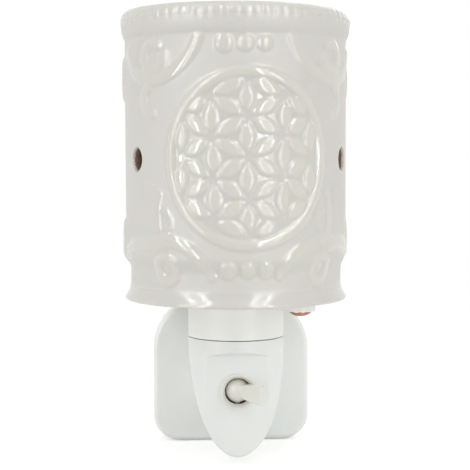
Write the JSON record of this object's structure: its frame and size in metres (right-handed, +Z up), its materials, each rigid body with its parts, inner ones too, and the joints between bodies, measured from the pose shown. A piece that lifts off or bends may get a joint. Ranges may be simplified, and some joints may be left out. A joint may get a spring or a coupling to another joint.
{
  "type": "wax melt warmer",
  "caption": "Plug-in wax melt warmer: a lamp under a loose wax dish in a round ceramic shade with moulded relief, on a wall plug housing with a toggle switch.",
  "frame": {"origin": "middle of the plug plate's back face, which lies on the wall", "axes": "+Y into the wall along the pins, +Z up along the lamp axis, +X to the right seen from the room"},
  "size_m": [0.0742, 0.0998, 0.146],
  "materials": {
    "glazed_ceramic": "clear gloss glaze over a pale stoneware body",
    "white_housing_plastic": "moulded, satin gloss",
    "holder_resin": "compression-moulded heat-proof resin",
    "switch_frame_plastic": "moulded, matt",
    "sleeve_plastic": "moulded over the pins, matt",
    "brass": "pressed or machined, bare",
    "copper_plated_steel": "copper-coloured plating, gloss",
    "zinc_plated_steel": "bright zinc plating",
    "lamp_cap_metal": "rolled sheet, bright",
    "solder": "tinned, satin",
    "tungsten": "drawn wire",
    "lamp_glass": "blown, clear",
    "black_lamp_glass": "vitreous insulator, gloss",
    "brown_insulation": "extruded",
    "blue_insulation": "extruded"
  },
  "bodies": {
    "warmer": {"shade": "glazed_ceramic", "holder_body": "holder_resin", "holder_screw_shell": "brass", "holder_centre_contact": "brass", "retaining_ring": "white_housing_plastic", "socket_collar": "white_housing_plastic", "shade_carrier": "white_housing_plastic", "carrier_screws": "copper_plated_steel", "carrier_nuts": "zinc_plated_steel", "front_cover": "white_housing_plastic", "rear_housing": "white_housing_plastic", "cover_screw": "zinc_plated_steel", "plug_base": "white_housing_plastic", "base_screws": "zinc_plated_steel", "live_pin": "brass", "neutral_pin": "brass", "pin_sleeves": "sleeve_plastic", "shutter_pin": "white_housing_plastic", "pin_terminal_screws": "zinc_plated_steel", "switch_bezel": "white_housing_plastic", "switch_frame": "switch_frame_plastic", "switch_feed_terminal": "brass", "switch_load_terminal": "brass", "live_lead": "brown_insulation", "neutral_lead": "blue_insulation", "switched_lead": "brown_insulation"},
    "dish": {"wax_dish": "glazed_ceramic"},
    "bulb": {"bulb_glass": "lamp_glass", "bulb_cap": "lamp_cap_metal", "bulb_insulator": "black_lamp_glass", "bulb_tip_contact": "solder", "bulb_stem": "lamp_glass", "bulb_filament": "tungsten"},
    "lever": {"switch_lever": "white_housing_plastic", "switch_plunger": "brass", "switch_spring": "zinc_plated_steel"},
    "rocker": {"switch_rocker": "brass"}
  },
  "joints": [
    {"name": "dish_lift", "type": "slide", "parent": "warmer", "child": "dish", "axis": [0, 0, 1], "range_m": [0, 0.04]},
    {"name": "bulb_turn", "type": "hinge", "parent": "warmer", "child": "bulb", "pos_m": [0, -0.04, 0.04], "axis": [0, 0, 1], "range_deg": [0, 90]},
    {"name": "lever_swing", "type": "hinge", "parent": "warmer", "child": "lever", "pos_m": [0, -0.0485, -0.0011], "axis": [0, 0, 1], "range_deg": [-64, 0]},
    {"name": "rocker_tip", "type": "hinge", "parent": "warmer", "child": "rocker", "pos_m": [0, -0.0417, -0.0011], "axis": [0, 0, 1], "range_deg": [0, 16]}
  ],
  "couplings": [
    {"joint": "rocker_tip", "follows": "lever_swing", "ratio": -0.25}
  ]
}
